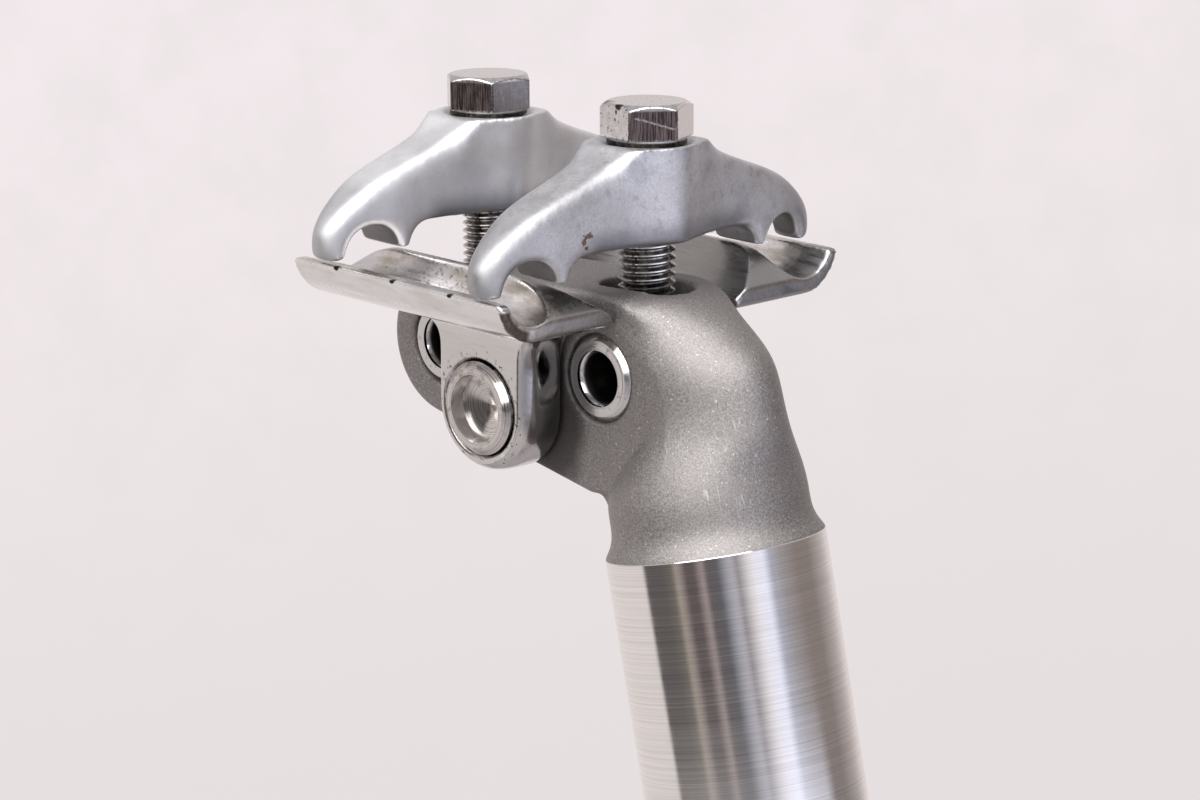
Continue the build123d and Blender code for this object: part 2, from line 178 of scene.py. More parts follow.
def math_node(tree, operation, *values, clamp=False):
    """Output of a math node."""
    node = add_node(tree, "ShaderNodeMath", dict(enumerate(values)), operation=operation)
    node.use_clamp = clamp
    return node.outputs[0]


def vector_node(tree, operation, *values):
    """Outputs of a vector math node."""
    return add_node(tree, "ShaderNodeVectorMath", dict(enumerate(values)), operation=operation).outputs


def split(tree, place):
    """The three parts of a vector."""
    return add_node(tree, "ShaderNodeSeparateXYZ", {0: place}).outputs


def product(tree, first, *others):
    """Product of two or more values."""
    for other in others:
        first = math_node(tree, "MULTIPLY", first, other)
    return first


def between(tree, value, low, high, to_low=0.0, to_high=1.0):
    """Smooth step of a value from one range to another."""
    inputs = {"Value": value, "From Min": low, "From Max": high, "To Min": to_low, "To Max": to_high}
    node = add_node(tree, "ShaderNodeMapRange", inputs, interpolation_type="SMOOTHSTEP")
    return node.outputs["Result"]


def mix_colour(tree, factor, first, second):
    """Output of a colour mix. The colours of such a node are its sockets 6 and 7, and 2 comes out."""
    node = add_node(tree, "ShaderNodeMix", data_type="RGBA")
    for socket, value in ((node.inputs[0], factor), (node.inputs[6], first), (node.inputs[7], second)):
        if isinstance(value, bpy.types.NodeSocket):
            tree.links.new(value, socket)
        else:
            socket.default_value = value
    return node.outputs[2]


def tinted(tree, tone, colour, mask, strength=1.0):
    """Tone with another colour laid over it where a mask is."""
    return mix_colour(tree, product(tree, mask, strength), tone, colour)


def noise(tree, place, scale, detail, roughness, stretch=None):
    """Grey noise at the given scale, in the object's metres or stretched along an axis."""
    if stretch:
        place = add_node(tree, "ShaderNodeMapping", {"Vector": place, "Scale": stretch}).outputs[0]
    inputs = {"Vector": place, "Scale": scale, "Detail": detail, "Roughness": roughness}
    return add_node(tree, "ShaderNodeTexNoise", inputs).outputs[0]


def new_group(name, inputs, outputs):
    """Shader node group with the given sockets: the group, what goes in and what comes out."""
    group = bpy.data.node_groups.new(name, "ShaderNodeTree")
    for label, kind, value in inputs:
        socket = group.interface.new_socket(name=label, in_out="INPUT", socket_type="NodeSocket" + kind)
        socket.default_value = value
    for label in outputs:
        group.interface.new_socket(name=label, in_out="OUTPUT", socket_type="NodeSocketFloat")
    return group, group.nodes.new("NodeGroupInput").outputs, group.nodes.new("NodeGroupOutput").inputs


def use_group(tree, group, inputs):
    """Outputs of a shader node group placed in a material."""
    return add_node(tree, "ShaderNodeGroup", inputs, node_tree=group).outputs


# Grain of a blasted or tumbled surface: the grain itself, glints of single grains for painted bright
# specks, and slow clouds
fine_grain, given, result = new_group(
    "fine_grain",
    [("Vector", "Vector", (0, 0, 0)), ("Scale", "Float", 4000.0)],
    ["Grain", "Sparkle", "Cloud"])
grain = noise(fine_grain, given["Vector"], given["Scale"], detail=3.0, roughness=0.6)
glint_scale = product(fine_grain, given["Scale"], 0.8)
glint = noise(fine_grain, given["Vector"], glint_scale, detail=1.0, roughness=0.5)
cloud_scale = product(fine_grain, given["Scale"], 0.05)
cloud = noise(fine_grain, given["Vector"], cloud_scale, detail=3.0, roughness=0.55)
fine_grain.links.new(grain, result["Grain"])
fine_grain.links.new(between(fine_grain, glint, 0.68, 0.78), result["Sparkle"])
fine_grain.links.new(cloud, result["Cloud"])

# Hairline scratches: thin winding lines, left out over part of the surface
hairlines, given, result = new_group(
    "hairlines",
    [("Vector", "Vector", (0, 0, 0)), ("Scale", "Float", 100.0), ("Width", "Float", 0.02)],
    ["Mask"])
course = noise(hairlines, given["Vector"], given["Scale"], detail=1.0, roughness=0.4)
offset = math_node(hairlines, "ABSOLUTE", math_node(hairlines, "SUBTRACT", course, 0.5))
line = math_node(hairlines, "SUBTRACT", 1.0, between(hairlines, offset, 0.0, given["Width"]))
gaps = noise(hairlines, given["Vector"], given["Scale"], detail=2.0, roughness=0.6)
hairlines.links.new(product(hairlines, line, between(hairlines, gaps, 0.45, 0.6)), result["Mask"])

# Patch: a ragged spot or stain at one place, 1 inside its reach and 0 outside
patch, given, result = new_group(
    "patch",
    [("Vector", "Vector", (0, 0, 0)), ("Centre", "Vector", (0, 0, 0)), ("Reach", "Vector", (1, 1, 1)),
     ("Ragged", "Float", 0.4), ("Scale", "Float", 1500.0)],
    ["Mask"])
away = vector_node(patch, "SUBTRACT", given["Vector"], given["Centre"])[0]
away = vector_node(patch, "DIVIDE", away, given["Reach"])[0]
away = vector_node(patch, "LENGTH", away)["Value"]
rag = noise(patch, given["Vector"], given["Scale"], detail=3.0, roughness=0.6)
rag = math_node(patch, "SUBTRACT", rag, 0.5)
away = math_node(patch, "MULTIPLY_ADD", rag, product(patch, given["Ragged"], 4.0), away)
patch.links.new(between(patch, away, 1.1, 0.7), result["Mask"])


def scratches(tree, place, slant, stretch, scale, width):
    """Mask of hairline scratches, turned by a slant and drawn out by a stretch."""
    inputs = {"Vector": place, "Rotation": slant, "Scale": stretch}
    drawn_out = add_node(tree, "ShaderNodeMapping", inputs).outputs[0]
    return use_group(tree, hairlines, {"Vector": drawn_out, "Scale": scale, "Width": width})["Mask"]


def ragged_mark(tree, place, centre, reach, ragged=0.4, scale=1500.0):
    """Mask of one patch, its centre and reach in millimetres."""
    inputs = {
        "Vector": place, "Centre": Vector(centre) * MM, "Reach": Vector(reach) * MM,
        "Ragged": ragged, "Scale": scale}
    return use_group(tree, patch, inputs)["Mask"]


def spots(tree, place, tone, colour, marks, ragged=0.4, scale=1500.0, strength=1.0):
    """Tone with patches of one colour, each with its centre and reach in millimetres."""
    for centre, reach in marks:
        mask = ragged_mark(tree, place, centre, reach, ragged, scale)
        tone = tinted(tree, tone, colour, mask, strength)
    return tone


# Sand-blasted finish of the head, with painted shade under the cradles' ears and a few scratches on the
# nose
blasted, tree, shader, place = new_metal("blasted_alloy")
skin = use_group(tree, fine_grain, {"Vector": place, "Scale": 4400.0})
tone = mix_colour(tree, between(tree, skin["Grain"], 0.33, 0.67), GRAIN_DARK, GRAIN_PALE)
tone = tinted(tree, tone, GRAIN_CLOUD, between(tree, skin["Cloud"], 0.35, 0.7), 0.3)
# Painted glints: single grains made near white as specks of highlight
tone = tinted(tree, tone, GRAIN_GLINT, skin["Sparkle"], 0.5)
ahead, across, height = split(tree, place)
outward = math_node(tree, "ABSOLUTE", across)
mirrored = add_node(tree, "ShaderNodeCombineXYZ", {0: ahead, 1: outward, 2: height}).outputs[0]
# Painted shade: the head is darkened where the cradles' ears shade it
shade_under_ears = [((-18, 8.4, 199), (8, 3, 11))]
tone = spots(tree, mirrored, tone, EAR_SHADE_ON_HEAD, shade_under_ears, ragged=0.08, scale=300.0, strength=0.8)
rubbed = ragged_mark(tree, place, (10.4, -5.6, 190.5), (4, 4, 6), scale=400.0)
lines = scratches(tree, place, slant=(0.25, 0.2, 0), stretch=(9, 9, 0.4), scale=90.0, width=0.024)
tone = tinted(tree, tone, NOSE_SCRATCH, product(tree, lines, rubbed), 0.6)
link_finish(tree, shader, tone, between(tree, skin["Grain"], 0.2, 0.8, to_low=0.52, to_high=0.66))
add_bump(tree, shader, skin["Grain"], strength=0.4, distance=0.06 * MM)

# Turned finish of the shaft: fine rings all the way round, and a few light scratches along it
turned, tree, shader, place = new_metal("turned_alloy")
rings = noise(tree, place, 1.0, detail=3.0, roughness=0.7, stretch=(14.0, 14.0, 3600.0))
bands = noise(tree, place, 1.0, detail=2.0, roughness=0.5, stretch=(8.0, 8.0, 420.0))
tone = mix_colour(tree, between(tree, rings, 0.25, 0.75), TURNED_DARK, TURNED_PALE)
lines = scratches(tree, place, slant=(0.1, 0.15, 0), stretch=(12, 12, 1.2), scale=45.0, width=0.006)
tone = tinted(tree, tone, SHAFT_SCRATCH, lines, 0.35)
streak = math_node(tree, "MULTIPLY_ADD", rings, 0.5, product(tree, bands, 0.5))
link_finish(tree, shader, tone, between(tree, streak, 0.3, 0.7, to_low=0.07, to_high=0.15))
add_bump(tree, shader, rings, strength=0.12, distance=0.01 * MM)

# The head is cut off well below the ring, skinned, shaped, and then cut again just under the ring
head = merged_mesh("post")
cut_above(head, (0, 0, RING_HEIGHT - 8 * MM), UP)
head = forged_skin(head, voxel=0.32 * MM, rounds=5)

# Nose and crown ground by hand into one sweep, less and less towards the slot and the nut bores
sweep = {}
for vert in head.verts:
    above = vert.co.z - RING_HEIGHT
    forward = step_between(vert.co.x, -0.5 * MM, 5 * MM)
    over_ring = step_between(above, 4 * MM, 10 * MM)
    below_slot = step_between(above, 31.5 * MM, 27 * MM)
    sweep[vert] = forward * over_ring * below_slot
ease(head, sweep, rounds=22)

# Nose drawn to a blunt point, which leaves a soft crease where it meets the flat sides
NOSE_AXIS = 3.6 * MM
NOSE_RADIUS = 8.45 * MM
NOSE_DRAW = 1.1 * MM
NOSE_TAPER = 0.21
CROWN_START = 18.7 * MM
CROWN_BEND = 5 * MM
CROWN_LEAN = 0.9
for vert in head.verts:
    above = vert.co.z - RING_HEIGHT
    rise = max(above - CROWN_START, 0.0)
    bent = min(rise, CROWN_BEND)
    axis = NOSE_AXIS - CROWN_LEAN * (bent * bent / (2 * CROWN_BEND) + rise - bent)
    share = min(max((vert.co.x - axis) / NOSE_RADIUS, 0.0), 1.0)
    share *= step_between(above, 8 * MM, 14 * MM) * step_between(above, 30.5 * MM, 26 * MM)
    vert.co.y *= 1 - NOSE_TAPER * share
    vert.co.x += NOSE_DRAW * share
cut_above(head, (0, 0, RING_HEIGHT - 0.08 * MM), UP)
head_faces = set(head.faces)

# Shaft and its bore, spun from their outline
outline = [
    (0, BORE_END),
    (BORE_RADIUS * 0.5, BORE_END),
    (BORE_RADIUS * 0.75, BORE_END - 0.75 * MM),
    (BORE_RADIUS * 0.93, BORE_END - 2.8 * MM),
    (BORE_RADIUS, BORE_END - 5.6 * MM),
    (BORE_RADIUS, 0.6 * MM),
    (BORE_RADIUS + 0.6 * MM, 0),
    (SHAFT_RADIUS - 0.5 * MM, 0),
    (SHAFT_RADIUS - 0.15 * MM, 0.15 * MM),
    (SHAFT_RADIUS, 0.5 * MM),
    (SHAFT_RADIUS, RING_HEIGHT - 0.2 * MM),
    (SHAFT_RADIUS - 0.12 * MM, RING_HEIGHT - 0.06 * MM),
    (SHAFT_RADIUS - 0.5 * MM, RING_HEIGHT - 0.05 * MM),
    (0, RING_HEIGHT - 0.05 * MM),
]
spin_line(head, [(radius, 0, height) for radius, height in outline], (0, 0, 0), UP, steps=192)
shaft_verts = list({vert for face in head.faces if face not in head_faces for vert in face.verts})
bmesh.ops.remove_doubles(head, verts=shaft_verts, dist=JOIN_DISTANCE)
shaft_faces = [face for face in head.faces if face not in head_faces]
bmesh.ops.recalc_face_normals(head, faces=shaft_faces)
for face in shaft_faces:
    face.material_index = 1
post = new_piece("post_forging", head, blasted)
post.data.materials.append(turned)
post.data.set_sharp_from_angle(angle=math.radians(35))
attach(post, "post")
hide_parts("post")


# Pivot axle: turned steel pin pressed through the head, with a drilled recess in each end. It stays as the
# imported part, and its finish shows the lathe's rings.
PIVOT = (-22.0 * MM, 0, 200.3 * MM)
AXLE_DARK = (0.42, 0.40, 0.385, 1)
AXLE_PALE = (0.72, 0.70, 0.685, 1)
AXLE_STAIN = (0.22, 0.17, 0.13, 1)


def cross_radius(tree, place, centre):
    """Distance from an axis that runs across the bicycle."""
    away = vector_node(tree, "SUBTRACT", place, centre)[0]
    flat = vector_node(tree, "MULTIPLY", away, (1, 0, 1))[0]
    return vector_node(tree, "LENGTH", flat)["Value"]


def dress(node, material):
    """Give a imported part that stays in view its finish."""
    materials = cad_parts[node].data.materials
    materials.clear()
    materials.append(material)


# Lathe rings: bright and dull circles that a turning tool leaves on an end face
lathe_rings, given, result = new_group(
    "lathe_rings", [("Radius", "Float", 0.0), ("Scale", "Float", 6000.0)], ["Rings"])
inputs = {"W": given["Radius"], "Scale": given["Scale"], "Detail": 3.0}
circles = add_node(lathe_rings, "ShaderNodeTexNoise", inputs, noise_dimensions="1D")
lathe_rings.links.new(circles.outputs[0], result["Rings"])

turned_steel, tree, shader, place = new_metal("turned_steel")
radius = cross_radius(tree, place, PIVOT)
rings = use_group(tree, lathe_rings, {"Radius": radius, "Scale": 8000.0})["Rings"]
blotch = noise(tree, place, 500.0, detail=3.0, roughness=0.6)
tone = mix_colour(tree, between(tree, rings, 0.3, 0.7), AXLE_DARK, AXLE_PALE)
tone = tinted(tree, tone, AXLE_STAIN, between(tree, blotch, 0.52, 0.7), 0.6)
link_finish(tree, shader, tone, between(tree, rings, 0.3, 0.7, to_low=0.09, to_high=0.22))
add_bump(tree, shader, rings, strength=0.12, distance=0.01 * MM)
dress("pivot_axle", turned_steel)


# Lower cradles: the same polished aluminium forging on both sides, turned half round. Each hangs on the
# axle by its ear and carries one saddle rail in its trough, which is worn and stained where the rail lay.
SADDLE_ANGLE = math.radians(14)
RAIL_SIDE = 21.5 * MM
RAIL_HEIGHT = 18.4 * MM
POLISH_GREY = (0.76, 0.745, 0.74, 1)
POLISH_PALE = (0.86, 0.845, 0.84, 1)
TROUGH_PALE = (0.78, 0.755, 0.76, 1)
TROUGH_STAIN = (0.52, 0.475, 0.42, 1)
TROUGH_SPECK = (0.13, 0.10, 0.075, 1)
FLANK_GREY = (0.27, 0.25, 0.24, 1)
EAR_EDGE_SHADE = (0.06, 0.055, 0.065, 1)
EAR_GREY = (0.42, 0.405, 0.40, 1)
LEFT_END_GREY = (0.34, 0.32, 0.32, 1)
END_GREY = (0.38, 0.37, 0.37, 1)
EAR_PIT = (0.07, 0.06, 0.055, 1)
AXLE_SEAM = (0.03, 0.027, 0.025, 1)
EDGE_HIGHLIGHT = (0.93, 0.92, 0.92, 1)
HOLLOW_DARK = (0.2, 0.16, 0.13, 1)
RIM_NICK = (0.03, 0.025, 0.02, 1)
TROUGH_END_SHADE = (0.07, 0.042, 0.025, 1)


def saddle_place(tree, place):
    """Coordinates along the rails, across and up, from the pivot."""
    inputs = {"Vector": place, "Location": PIVOT, "Rotation": (0, SADDLE_ANGLE, 0)}
    return add_node(tree, "ShaderNodeMapping", inputs, vector_type="TEXTURE").outputs[0]


def hypotenuse(tree, first, second):
    """Length of a flat vector from its two parts."""
    squares = math_node(tree, "ADD", product(tree, first, first), product(tree, second, second))
    return math_node(tree, "SQRT", squares)


def rail_distance(tree, outward, up):
    """Distance from the axis of the nearer rail."""
    side = math_node(tree, "SUBTRACT", outward, RAIL_SIDE)
    rise = math_node(tree, "SUBTRACT", up, RAIL_HEIGHT)
    return hypotenuse(tree, side, rise)


# Edges and hollows, from the mesh's pointiness: sharp edges for a painted highlight, and hollows for a
# darker tone
edge_light_and_hollow, given, result = new_group("edge_light_and_hollow", [("Reach", "Float", 0.05)], ["Edge", "Hollow"])
bend = add_node(edge_light_and_hollow, "ShaderNodeNewGeometry").outputs["Pointiness"]
bend = math_node(edge_light_and_hollow, "SUBTRACT", bend, 0.5)
share = math_node(edge_light_and_hollow, "DIVIDE", bend, given["Reach"])
edge_light_and_hollow.links.new(between(edge_light_and_hollow, share, 0.2, 1.0), result["Edge"])
edge_light_and_hollow.links.new(between(edge_light_and_hollow, share, -0.2, -1.0), result["Hollow"])

# Polished metal, and the trough, dull and stained, with specks that crowd on the right one's inner side
polished, tree, shader, place = new_metal("polished_alloy")
saddle = saddle_place(tree, place)
along, across, up = split(tree, saddle)
outward = math_node(tree, "ABSOLUTE", across)
from_rail = rail_distance(tree, outward, up)
trough = between(tree, from_rail, 6.1 * MM, 5.2 * MM)
edge_and_hollow = use_group(tree, edge_light_and_hollow, {"Reach": 0.05})
scuff = noise(tree, saddle, 1.0, detail=4.0, roughness=0.7, stretch=(180.0, 1600.0, 1600.0))
smear = noise(tree, saddle, 1.0, detail=4.0, roughness=0.65, stretch=(170.0, 420.0, 420.0))
speck = noise(tree, saddle, 1900.0, detail=3.0, roughness=0.65)
tone = mix_colour(tree, between(tree, scuff, 0.3, 0.7), POLISH_GREY, POLISH_PALE)
dull = mix_colour(tree, between(tree, smear, 0.42, 0.66), TROUGH_PALE, TROUGH_STAIN)
crowded = ragged_mark(tree, saddle, (-1.5, -18.4, 16), (5, 5, 5), scale=500.0)
specks = product(tree, crowded, between(tree, speck, 0.55, 0.62))
specks = math_node(tree, "MAXIMUM", specks, between(tree, speck, 0.66, 0.72))
dull = tinted(tree, dull, TROUGH_SPECK, specks, 0.75)
tone = tinted(tree, tone, dull, trough)

# Inner flank between the trough and the head darker and duller, the ear's edge painted dark as shade, its
# grey face, and the left one's front end
flank = product(
    tree, between(tree, outward, 17.6 * MM, 16.6 * MM), between(tree, up, 10.5 * MM, 12 * MM))
tone = tinted(tree, tone, FLANK_GREY, flank, 0.85)
# Painted shade: the ear's front side is darkened near black
shaded_ear_edge = product(
    tree, between(tree, along, 7.0 * MM, 7.9 * MM), between(tree, outward, 14.8 * MM, 14.3 * MM),
    between(tree, up, 10 * MM, 8 * MM))
tone = tinted(tree, tone, EAR_EDGE_SHADE, shaded_ear_edge, 0.95)
front_end = between(tree, along, 16.4 * MM, 17.0 * MM)
left_end = product(tree, front_end, between(tree, across, 0.0, 1 * MM))
tone = tinted(tree, tone, LEFT_END_GREY, left_end, 0.75)
ear_face = product(
    tree, between(tree, outward, 15.4 * MM, 14.9 * MM), between(tree, up, 12 * MM, 10 * MM))
tone = tinted(tree, tone, EAR_GREY, ear_face, 0.55)

# Pits and grime on the ear round the axle, a painted highlight on the sharp edges, darker hollows, and both
# front ends, all but the outer part of the right one
from_axle = cross_radius(tree, place, PIVOT)
round_axle = product(
    tree, between(tree, from_axle, 8.6 * MM, 7.0 * MM), between(tree, up, 15 * MM, 13 * MM))
pits = product(tree, round_axle, between(tree, speck, 0.6, 0.68))
tone = tinted(tree, tone, EAR_PIT, pits)
seam = product(
    tree, between(tree, from_axle, 6.5 * MM, 6.15 * MM), between(tree, smear, 0.35, 0.55))
tone = tinted(tree, tone, AXLE_SEAM, seam)
# Painted highlight on the sharp edges, and a darker tone in the hollows
tone = tinted(tree, tone, EDGE_HIGHLIGHT, edge_and_hollow["Edge"], 0.5)
tone = tinted(tree, tone, HOLLOW_DARK, edge_and_hollow["Hollow"], 0.5)
dull_ends = product(tree, front_end, between(tree, across, -21 * MM, -19.5 * MM))
tone = tinted(tree, tone, END_GREY, dull_ends, 0.8)

# Nicks along the outer rims, and a dark brown painted shade along the right cradle's front end
nicks = [
    ((-12.6, -27.0, 17.4), (0.5, 0.8, 0.38)),
    ((-2.25, -27.0, 17.4), (0.5, 0.8, 0.34)),
    ((8.1, -27.0, 17.4), (0.45, 0.8, 0.34)),
    ((-7.4, 27.0, 17.4), (0.4, 0.8, 0.34)),
    ((5.0, 27.0, 17.4), (0.45, 0.8, 0.34)),
]
tone = spots(tree, saddle, tone, RIM_NICK, nicks, ragged=0.2)
# Painted shade: a ragged dark brown stripe inside the right trough's front end
ragged_end = math_node(tree, "MULTIPLY_ADD", math_node(tree, "SUBTRACT", smear, 0.5), 1.5 * MM, along)
shaded_trough_end = product(
    tree, between(tree, ragged_end, 16.3 * MM, 16.7 * MM), between(tree, across, -22.2 * MM, -23.2 * MM),
    between(tree, from_rail, 4.4 * MM, 4.9 * MM), between(tree, up, 16.9 * MM, 16.5 * MM))
tone = tinted(tree, tone, TROUGH_END_SHADE, shaded_trough_end, 0.92)
shine = between(tree, scuff, 0.3, 0.7, to_low=0.08, to_high=0.2)
shine = math_node(tree, "MULTIPLY_ADD", math_node(tree, "MAXIMUM", trough, flank), 0.16, shine)
shine = math_node(tree, "MULTIPLY_ADD", pits, 0.3, shine, clamp=True)
link_finish(tree, shader, tone, shine)
add_bump(tree, shader, product(tree, speck, trough), strength=0.35, distance=0.05 * MM)

from_saddle = Matrix.Translation(PIVOT) @ Matrix.Rotation(SADDLE_ANGLE, 4, "Y")
to_saddle = from_saddle.inverted()
for side in ("left", "right"):
    skin = forged_skin(merged_mesh(side + "_cradle"), voxel=0.25 * MM, rounds=3)
    # Outer edge of the ear, polished well round but left crisp at the axle's bore
    rounding = {}
    for vert in skin.verts:
        spot = to_saddle @ vert.co
        from_bore = math.hypot(spot.x, min(spot.z, 0.0))
        share = step_between(abs(spot.y), 11 * MM, 13.5 * MM)
        share *= step_between(from_bore, 6.9 * MM, 7.6 * MM)
        rounding[vert] = share * step_between(spot.z, 10.5 * MM, 8.5 * MM)
    ease(skin, rounding, rounds=14)
    cradle = new_piece(side + "_cradle_forging", skin, polished)
    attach(cradle, "saddle_clamp")
    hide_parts(side + "_cradle")


# Barrel nuts: chromed steel tubes across the head that the bolts screw into. They swivel in the head's
# cross bores. The mouth of each bore is a rounded funnel, and inside it is painted dark as shade.
NUTS = {"front": (-7.0392 * MM, 0, 201.9775 * MM), "rear": (-34.7113 * MM, 0, 208.3662 * MM)}
NUT_CHROME = (0.6, 0.59, 0.585, 1)
NUT_HAZE = (0.24, 0.225, 0.21, 1)
NUT_BORE_SHADE = (0.035, 0.032, 0.03, 1)
# Outline of the funnel: radius and distance from the middle of the post, in millimetres
MOUTH = [
    (4.5, 8.42), (4.38, 8.47), (3.95, 8.38), (3.45, 8.0),
    (3.12, 7.4), (2.98, 6.6), (2.98, 4.9), (3.55, 4.9),
]
for end, centre in NUTS.items():
    chrome, tree, shader, place = new_metal("chromed_nut_" + end)
    from_axis = cross_radius(tree, place, centre)
    rings = use_group(tree, lathe_rings, {"Radius": from_axis, "Scale": 4200.0})["Rings"]
    haze = noise(tree, place, 1400.0, detail=3.0, roughness=0.6)
    tone = mix_colour(tree, between(tree, haze, 0.55, 0.75, to_high=0.7), NUT_CHROME, NUT_HAZE)
    outward = math_node(tree, "ABSOLUTE", split(tree, place)[1])
    # Painted shade inside each bore
    bore_shade = product(
        tree, between(tree, from_axis, 4.0 * MM, 3.8 * MM), between(tree, outward, 7.9 * MM, 7.4 * MM))
    tone = tinted(tree, tone, NUT_BORE_SHADE, bore_shade)
    shine = between(tree, rings, 0.3, 0.7, to_low=0.11, to_high=0.24)
    shine = math_node(tree, "MULTIPLY_ADD", bore_shade, 0.3, shine)
    link_finish(tree, shader, tone, shine)
    add_bump(tree, shader, rings, strength=0.2, distance=0.02 * MM)
    nut = merged_mesh(end + "_barrel_nut")
    for side in (-1, 1):
        points = [(centre[0] + radius * MM, side * depth * MM, centre[2]) for radius, depth in MOUTH]
        rim = spin_line(nut, points, centre, (0, 1, 0), steps=64)
        rim_faces = list({face for vert in rim for face in vert.link_faces})
        bmesh.ops.recalc_face_normals(nut, faces=rim_faces)
    piece = new_piece(end + "_nut_chrome", nut, chrome)
    piece.data.set_sharp_from_angle(angle=math.radians(25))
    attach(piece, end + "_nut")
    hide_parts(end + "_barrel_nut")


# Upper clamps: aluminium yokes across both rails, forged and tumbled to a satin grey, with a boss for the
# bolt in the middle and a notch over each rail. The bolts pull them down on the rails.
SATIN_GREY = (0.55, 0.55, 0.565, 1)
SATIN_PALE = (0.69, 0.69, 0.71, 1)
SATIN_CLOUD = (0.55, 0.55, 0.58, 1)
SATIN_BLOTCH = (0.36, 0.35, 0.37, 1)
SATIN_MOTTLE = (0.40, 0.40, 0.43, 1)
SATIN_HOLLOW_DARK = (0.25, 0.23, 0.22, 1)
REAR_PAINTED_LIGHT = (0.9, 0.9, 0.92, 1)
UNDERSIDE_SHADE = (0.2, 0.2, 0.22, 1)
TIP_SHADE = (0.36, 0.36, 0.37, 1)
NOTCH_SHADE = (0.15, 0.14, 0.14, 1)
CLAMP_RUST = (0.14, 0.05, 0.022, 1)
CROWN_DEPTH = 5.5 * MM
CROWN_SLIM = 0.17
ARM_START = 12 * MM

# Satin grey with clouds and blotches, and darker in the hollows
satin, tree, shader, place = new_metal("satin_alloy")
saddle = saddle_place(tree, place)
skin = use_group(tree, fine_grain, {"Vector": place, "Scale": 3400.0})
edge_and_hollow = use_group(tree, edge_light_and_hollow, {"Reach": 0.05})
blotch = noise(tree, place, 700.0, detail=4.0, roughness=0.65)
mottle = noise(tree, place, 230.0, detail=4.0, roughness=0.65)
tone = mix_colour(tree, between(tree, skin["Grain"], 0.3, 0.7), SATIN_GREY, SATIN_PALE)
tone = tinted(tree, tone, SATIN_CLOUD, between(tree, skin["Cloud"], 0.35, 0.7), 0.45)
tone = tinted(tree, tone, SATIN_BLOTCH, between(tree, blotch, 0.52, 0.72), 0.6)
tone = tinted(tree, tone, SATIN_MOTTLE, between(tree, mottle, 0.42, 0.66), 0.5)
tone = tinted(tree, tone, SATIN_HOLLOW_DARK, edge_and_hollow["Hollow"], 0.5)

# The rear clamp is painted paler, in place of the light that the front clamp keeps off it. The undersides
# and notches are painted darker as shade, the tips darker to tone down the lamp's highlight, and the front
# clamp has a rust spot
along, across, up = split(tree, saddle)
outward = math_node(tree, "ABSOLUTE", across)
# Painted light: the rear clamp is made paler
tone = tinted(tree, tone, REAR_PAINTED_LIGHT, between(tree, along, 2 * MM, -2 * MM), 0.6)
# Painted shade on the undersides
shaded_under = product(
    tree, between(tree, up, 25.5 * MM, 22.3 * MM), between(tree, outward, 15 * MM, 11 * MM))
tone = tinted(tree, tone, UNDERSIDE_SHADE, shaded_under, 0.75)
# Painted shade: the hook tips are darkened to tone down the lamp's highlight on them
tone = tinted(tree, tone, TIP_SHADE, between(tree, outward, 19 * MM, 25 * MM), 0.6)
# Painted shade in the notches over the rails
notch_shade = between(tree, rail_distance(tree, outward, up), 3.8 * MM, 3.65 * MM)
tone = tinted(tree, tone, NOTCH_SHADE, notch_shade, 0.85)
rust = [
    ((17.7, -13.6, 24.1), (0.9, 0.7, 0.42)),
    ((17.7, -14.3, 23.5), (0.7, 0.42, 0.5)),
    ((17.7, -13.9, 22.7), (0.7, 0.3, 0.3)),
]
tone = spots(tree, saddle, tone, CLAMP_RUST, rust, ragged=0.6, scale=2600.0, strength=0.8)
link_finish(tree, shader, tone, between(tree, skin["Cloud"], 0.3, 0.7, to_low=0.42, to_high=0.54))
add_bump(tree, shader, skin["Grain"], strength=0.14, distance=0.04 * MM)


def crown_arms(skin):
    """Draw in the arms towards their tops, as the forging die's draft and the tumbling leave them."""
    places = {vert: to_saddle @ vert.co for vert in skin.verts}
    tops = {}
    for spot in places.values():
        column = round(abs(spot.y) / MM)
        tops[column] = max(tops.get(column, spot.z), spot.z)
    arm = [spot.x for spot in places.values() if abs(spot.y) > ARM_START]
    middle = (min(arm) + max(arm)) / 2
    for vert, spot in places.items():
        column = abs(spot.y) / MM
        low = math.floor(column)
        first = tops.get(low, spot.z)
        second = tops.get(low + 1, first)
        top = first + (second - first) * (column - low)
        near_top = max(0.0, 1 - (top - spot.z) / CROWN_DEPTH)
        slim = CROWN_SLIM * step_between(column, 6.5, 10) * near_top * near_top
        spot.x = middle + (spot.x - middle) * (1 - slim)
        vert.co = from_saddle @ spot


for end in ("front", "rear"):
    skin = forged_skin(merged_mesh(end + "_clamp"), voxel=0.25 * MM, rounds=3)
    crown_arms(skin)
    # The arms are rounded a little, and the tips of the hooks fully
    rounding = {}
    for vert in skin.verts:
        reach = abs(vert.co.y)
        on_arm = step_between(reach, 6 * MM, 10 * MM)
        on_tip = step_between(reach, 20.5 * MM, 25 * MM)
        rounding[vert] = 0.3 * on_arm + 0.7 * on_tip
    ease(skin, rounding, rounds=8)
    clamp = new_piece(end + "_clamp_forging", skin, satin)
    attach(clamp, "saddle_clamp")
    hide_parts(end + "_clamp")


# Domed washers: plain steel, painted near black as shade, between each bolt head and the dished top of its
# clamp. They stay as the imported parts. A thin rim under the bolt head is painted bright as a highlight.
WASHER_DARK = (0.02, 0.018, 0.016, 1)
WASHER_GREY = (0.09, 0.08, 0.07, 1)
WASHER_RIM_HIGHLIGHT = (0.6, 0.585, 0.59, 1)
washer_steel, tree, shader, place = new_metal("shaded_washer_steel")
haze = noise(tree, place, 1500.0, detail=3.0, roughness=0.6)
